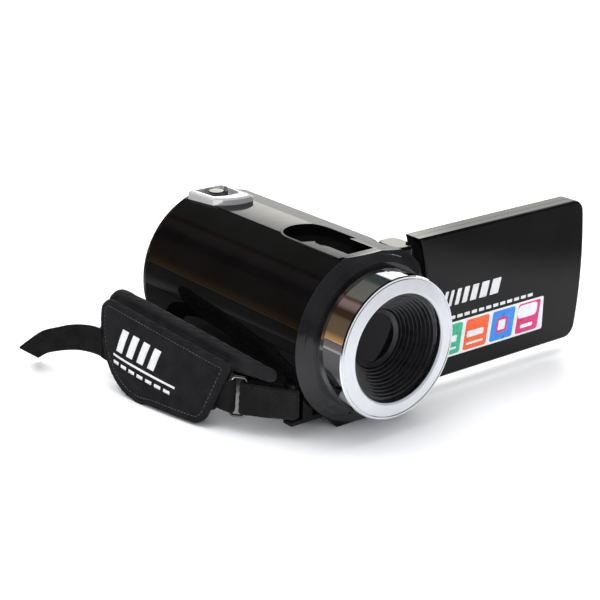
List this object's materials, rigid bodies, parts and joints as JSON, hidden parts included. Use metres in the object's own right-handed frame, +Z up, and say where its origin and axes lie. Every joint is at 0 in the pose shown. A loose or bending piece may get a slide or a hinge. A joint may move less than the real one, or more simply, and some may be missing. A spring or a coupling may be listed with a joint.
{
  "type": "handheld camcorder",
  "caption": "Palm-size camcorder: barrel body with flat base, chrome lens ring, fold-out swivelling screen panel, top accessory shoe, zoom lever and padded hand strap",
  "frame": {"origin": "centre of the mouth of the tripod socket, on the flat base", "axes": "+Z up; the lens looks along -Y; the screen opens to +X; the hand strap is on the -X side"},
  "size_m": [0.18, 0.1287, 0.0636],
  "materials": {
    "gloss_black": "polished piano black",
    "matte_black": "matte moulded",
    "chrome": "bright plated",
    "steel": "plain",
    "brass": "plain",
    "glass": "coated",
    "screen_glass": "dark display glass",
    "board": "printed circuit board",
    "battery_grey": "matte",
    "fabric_black": "closely woven nylon",
    "webbing": "ribbed nylon webbing",
    "label": "printed film",
    "light": "clear lens"
  },
  "bodies": {
    "body": {"upper_shell": "gloss_black", "lower_shell": "gloss_black", "rear_cover": "gloss_black", "front_bezel": "gloss_black", "chrome_ring": "chrome", "lens_hood": "matte_black", "lens_bezel": "matte_black", "lens_window": "glass", "lens_barrel": "matte_black", "lens_elements": "glass", "image_sensor": "screen_glass", "sensor_board": "board", "hinge_bracket": "steel", "hinge_pin": "steel", "accessory_shoe": "chrome", "zoom_housing": "chrome", "switch_board": "board", "rear_switch_board": "board", "status_light": "light", "speaker": "matte_black", "microphone": "matte_black", "battery_pack": "battery_grey", "battery_tray": "matte_black", "battery_contacts": "brass", "door_pin": "steel", "port_pin": "steel", "usb_socket": "steel", "av_socket": "matte_black", "memory_card": "matte_black", "card_socket": "matte_black", "main_board": "board", "tripod_bush": "brass", "shell_screws": "steel", "strap_bars": "steel", "strap_flap": "fabric_black", "strap_pad": "fabric_black", "strap_core": "webbing", "strap_ring": "chrome", "strap_front_loop": "webbing", "strap_rear_loop": "webbing", "strap_tail": "webbing"},
    "screen_hinge": {"hinge_block": "gloss_black"},
    "screen_panel": {"panel_cover": "gloss_black", "panel_frame": "gloss_black", "panel_screws": "steel", "lcd_screen": "screen_glass", "panel_board": "board", "swivel_shaft": "steel", "panel_label": "label"},
    "zoom_lever": {"zoom_lever": "matte_black"},
    "shutter_button": {"shutter_button": "chrome"},
    "power_button": {"power_button": "chrome"},
    "mode_button": {"mode_button": "chrome"},
    "play_button": {"play_button": "chrome"},
    "record_button": {"record_button": "chrome"},
    "battery_door": {"battery_door": "gloss_black"},
    "port_cover": {"port_cover": "gloss_black"}
  },
  "joints": [
    {"name": "lcd_open", "type": "hinge", "parent": "body", "child": "screen_hinge", "pos_m": [0.0204, -0.0304, 0.0328], "axis": [0, 0, 1], "range_deg": [0, 90]},
    {"name": "lcd_swivel", "type": "hinge", "parent": "screen_hinge", "child": "screen_panel", "pos_m": [0.0236, -0.0345, 0.0328], "axis": [1, 0, 0], "range_deg": [-90, 180]},
    {"name": "zoom_turn", "type": "hinge", "parent": "body", "child": "zoom_lever", "pos_m": [-0.0039, 0.0414, 0.0615], "axis": [0, 0, 1], "range_deg": [-12, 12], "stiffness_Nm_per_rad": 0.01},
    {"name": "shutter_press", "type": "slide", "parent": "body", "child": "shutter_button", "axis": [0, 0, -1], "range_m": [0, 0.0005], "stiffness_N_per_m": 400},
    {"name": "power_press", "type": "slide", "parent": "body", "child": "power_button", "axis": [-1, 0, 0], "range_m": [0, 0.0005], "stiffness_N_per_m": 400},
    {"name": "mode_press", "type": "slide", "parent": "body", "child": "mode_button", "axis": [-1, 0, 0], "range_m": [0, 0.0005], "stiffness_N_per_m": 400},
    {"name": "play_press", "type": "slide", "parent": "body", "child": "play_button", "axis": [-1, 0, 0], "range_m": [0, 0.0005], "stiffness_N_per_m": 400},
    {"name": "record_press", "type": "slide", "parent": "body", "child": "record_button", "axis": [0, -1, 0], "range_m": [0, 0.0008], "stiffness_N_per_m": 400},
    {"name": "battery_door_open", "type": "hinge", "parent": "body", "child": "battery_door", "pos_m": [-0.002, 0.052, 0.0091], "axis": [-1, 0, 0], "range_deg": [0, 95]},
    {"name": "port_cover_open", "type": "hinge", "parent": "body", "child": "port_cover", "pos_m": [0.0193, 0.012, 0.0192], "axis": [0, -1, 0], "range_deg": [-95, 0]}
  ]
}
